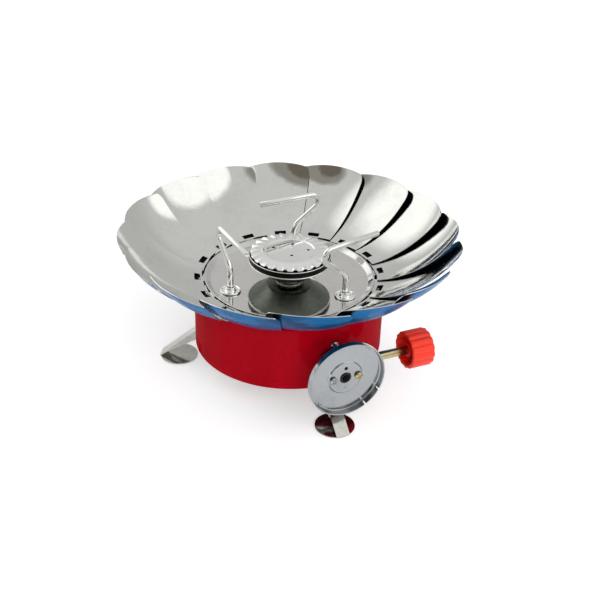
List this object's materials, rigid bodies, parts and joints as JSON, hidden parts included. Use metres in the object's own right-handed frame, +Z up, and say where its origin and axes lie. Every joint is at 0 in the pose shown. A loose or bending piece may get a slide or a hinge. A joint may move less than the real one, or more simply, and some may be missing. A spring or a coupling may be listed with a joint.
{
  "type": "portable gas stove",
  "caption": "Folding camping gas stove: drum body, petal windshield that folds shut, swivelling pot supports, folding legs and a side inlet with control knob.",
  "frame": {"origin": "on the ground under the middle of the drum, standing on its three feet", "axes": "+Z up, gas inlet towards -Y, control knob towards +X"},
  "size_m": [0.2442, 0.2442, 0.1192],
  "materials": {
    "drum_red": "gloss",
    "petal_steel": "mirror inside, blue protective film outside",
    "tray_steel": "mirror",
    "support_wire": "bright",
    "leg_steel": "polished",
    "bracket_steel": "satin",
    "cap_steel": "polished",
    "cup_steel": "dark",
    "ring_dark": "dark",
    "brass": "satin",
    "zinc": "satin",
    "knob_red": "satin",
    "seal_rubber": "matt"
  },
  "bodies": {
    "base": {"drum_shell": "drum_red", "burner_tray": "tray_steel", "support_collar_1": "leg_steel", "support_collar_2": "leg_steel", "support_collar_3": "leg_steel", "leg_bracket_1": "bracket_steel", "leg_bracket_2": "bracket_steel", "leg_bracket_3": "bracket_steel", "leg_pin_1": "zinc", "leg_pin_2": "zinc", "leg_pin_3": "zinc", "mixer_tube": "support_wire", "burner_nut": "zinc", "burner_cup": "cup_steel", "burner_ring": "ring_dark", "burner_cap": "cap_steel", "gas_jet": "brass", "gas_pipe": "brass", "valve_plate": "bracket_steel", "plate_screw_1": "zinc", "plate_screw_2": "zinc", "valve_body": "zinc", "gland_nut": "brass", "spindle_o_ring": "seal_rubber", "canister_flange": "zinc", "inlet_nipple": "brass", "inlet_seal": "seal_rubber", "flange_screw_1": "brass", "flange_screw_2": "zinc"},
    "petal_body_01": {"petal_01": "petal_steel"},
    "petal_body_02": {"petal_02": "petal_steel"},
    "petal_body_03": {"petal_03": "petal_steel"},
    "petal_body_04": {"petal_04": "petal_steel"},
    "petal_body_05": {"petal_05": "petal_steel"},
    "petal_body_06": {"petal_06": "petal_steel"},
    "petal_body_07": {"petal_07": "petal_steel"},
    "petal_body_08": {"petal_08": "petal_steel"},
    "petal_body_09": {"petal_09": "petal_steel"},
    "petal_body_10": {"petal_10": "petal_steel"},
    "petal_body_11": {"petal_11": "petal_steel"},
    "petal_body_12": {"petal_12": "petal_steel"},
    "petal_body_13": {"petal_13": "petal_steel"},
    "petal_body_14": {"petal_14": "petal_steel"},
    "petal_body_15": {"petal_15": "petal_steel"},
    "petal_body_16": {"petal_16": "petal_steel"},
    "leg_body_1": {"leg_1": "leg_steel"},
    "leg_body_2": {"leg_2": "leg_steel"},
    "leg_body_3": {"leg_3": "leg_steel"},
    "support_body_1": {"pot_support_1": "support_wire", "support_clip_1": "bracket_steel"},
    "support_body_2": {"pot_support_2": "support_wire", "support_clip_2": "bracket_steel"},
    "support_body_3": {"pot_support_3": "support_wire", "support_clip_3": "bracket_steel"},
    "control": {"valve_spindle": "brass", "control_knob": "knob_red", "knob_screw": "zinc"}
  },
  "joints": [
    {"name": "petal_fold_01", "type": "hinge", "parent": "base", "child": "petal_body_01", "pos_m": [0.00602, -0.06372, 0.078], "axis": [-0.9881, -0.0934, -0.1219], "range_deg": [0, 60]},
    {"name": "petal_fold_02", "type": "hinge", "parent": "base", "child": "petal_body_02", "pos_m": [0.02995, -0.05656, 0.078], "axis": [-0.8772, -0.4644, -0.1219], "range_deg": [0, 60]},
    {"name": "petal_fold_03", "type": "hinge", "parent": "base", "child": "petal_body_03", "pos_m": [0.04931, -0.04079, 0.078], "axis": [-0.6327, -0.7648, -0.1219], "range_deg": [0, 60]},
    {"name": "petal_fold_04", "type": "hinge", "parent": "base", "child": "petal_body_04", "pos_m": [0.06117, -0.01882, 0.078], "axis": [-0.2918, -0.9487, -0.1219], "range_deg": [0, 60]},
    {"name": "petal_fold_05", "type": "hinge", "parent": "base", "child": "petal_body_05", "pos_m": [0.06372, 0.00602, 0.078], "axis": [0.0934, -0.9881, -0.1219], "range_deg": [0, 60]},
    {"name": "petal_fold_06", "type": "hinge", "parent": "base", "child": "petal_body_06", "pos_m": [0.05656, 0.02995, 0.078], "axis": [0.4644, -0.8772, -0.1219], "range_deg": [0, 60]},
    {"name": "petal_fold_07", "type": "hinge", "parent": "base", "child": "petal_body_07", "pos_m": [0.04079, 0.04931, 0.078], "axis": [0.7648, -0.6327, -0.1219], "range_deg": [0, 60]},
    {"name": "petal_fold_08", "type": "hinge", "parent": "base", "child": "petal_body_08", "pos_m": [0.01882, 0.06117, 0.078], "axis": [0.9487, -0.2918, -0.1219], "range_deg": [0, 60]},
    {"name": "petal_fold_09", "type": "hinge", "parent": "base", "child": "petal_body_09", "pos_m": [-0.00602, 0.06372, 0.078], "axis": [0.9881, 0.0934, -0.1219], "range_deg": [0, 60]},
    {"name": "petal_fold_10", "type": "hinge", "parent": "base", "child": "petal_body_10", "pos_m": [-0.02995, 0.05656, 0.078], "axis": [0.8772, 0.4644, -0.1219], "range_deg": [0, 60]},
    {"name": "petal_fold_11", "type": "hinge", "parent": "base", "child": "petal_body_11", "pos_m": [-0.04931, 0.04079, 0.078], "axis": [0.6327, 0.7648, -0.1219], "range_deg": [0, 60]},
    {"name": "petal_fold_12", "type": "hinge", "parent": "base", "child": "petal_body_12", "pos_m": [-0.06117, 0.01882, 0.078], "axis": [0.2918, 0.9487, -0.1219], "range_deg": [0, 60]},
    {"name": "petal_fold_13", "type": "hinge", "parent": "base", "child": "petal_body_13", "pos_m": [-0.06372, -0.00602, 0.078], "axis": [-0.0934, 0.9881, -0.1219], "range_deg": [0, 60]},
    {"name": "petal_fold_14", "type": "hinge", "parent": "base", "child": "petal_body_14", "pos_m": [-0.05656, -0.02995, 0.078], "axis": [-0.4644, 0.8772, -0.1219], "range_deg": [0, 60]},
    {"name": "petal_fold_15", "type": "hinge", "parent": "base", "child": "petal_body_15", "pos_m": [-0.04079, -0.04931, 0.078], "axis": [-0.7648, 0.6327, -0.1219], "range_deg": [0, 60]},
    {"name": "petal_fold_16", "type": "hinge", "parent": "base", "child": "petal_body_16", "pos_m": [-0.01882, -0.06117, 0.078], "axis": [-0.9487, 0.2918, -0.1219], "range_deg": [0, 60]},
    {"name": "leg_fold_1", "type": "hinge", "parent": "base", "child": "leg_body_1", "pos_m": [0, -0.057, 0.0305], "axis": [1, 0, 0], "range_deg": [0, 130]},
    {"name": "leg_fold_2", "type": "hinge", "parent": "base", "child": "leg_body_2", "pos_m": [0.04936, 0.0285, 0.0305], "axis": [-0.5, 0.866, 0], "range_deg": [0, 130]},
    {"name": "leg_fold_3", "type": "hinge", "parent": "base", "child": "leg_body_3", "pos_m": [-0.04936, 0.0285, 0.0305], "axis": [-0.5, -0.866, 0], "range_deg": [0, 130]},
    {"name": "support_swivel_1", "type": "hinge", "parent": "base", "child": "support_body_1", "pos_m": [0.02601, -0.03915, 0.0755], "axis": [0, 0, 1], "range_deg": [-70, 45]},
    {"name": "support_swivel_2", "type": "hinge", "parent": "base", "child": "support_body_2", "pos_m": [0.0209, 0.0421, 0.0755], "axis": [0, 0, 1], "range_deg": [-117, 5]},
    {"name": "support_swivel_3", "type": "hinge", "parent": "base", "child": "support_body_3", "pos_m": [-0.04691, -0.00295, 0.0755], "axis": [0, 0, 1], "range_deg": [-89, 25]},
    {"name": "knob_turn", "type": "hinge", "parent": "base", "child": "control", "pos_m": [0.053, -0.0815, 0.0488], "axis": [1, 0, 0], "range_deg": [0, 540]}
  ],
  "couplings": [
    {"joint": "petal_fold_02", "follows": "petal_fold_01", "ratio": 1},
    {"joint": "petal_fold_03", "follows": "petal_fold_01", "ratio": 1},
    {"joint": "petal_fold_04", "follows": "petal_fold_01", "ratio": 1},
    {"joint": "petal_fold_05", "follows": "petal_fold_01", "ratio": 1},
    {"joint": "petal_fold_06", "follows": "petal_fold_01", "ratio": 1},
    {"joint": "petal_fold_07", "follows": "petal_fold_01", "ratio": 1},
    {"joint": "petal_fold_08", "follows": "petal_fold_01", "ratio": 1},
    {"joint": "petal_fold_09", "follows": "petal_fold_01", "ratio": 1},
    {"joint": "petal_fold_10", "follows": "petal_fold_01", "ratio": 1},
    {"joint": "petal_fold_11", "follows": "petal_fold_01", "ratio": 1},
    {"joint": "petal_fold_12", "follows": "petal_fold_01", "ratio": 1},
    {"joint": "petal_fold_13", "follows": "petal_fold_01", "ratio": 1},
    {"joint": "petal_fold_14", "follows": "petal_fold_01", "ratio": 1},
    {"joint": "petal_fold_15", "follows": "petal_fold_01", "ratio": 1},
    {"joint": "petal_fold_16", "follows": "petal_fold_01", "ratio": 1}
  ]
}
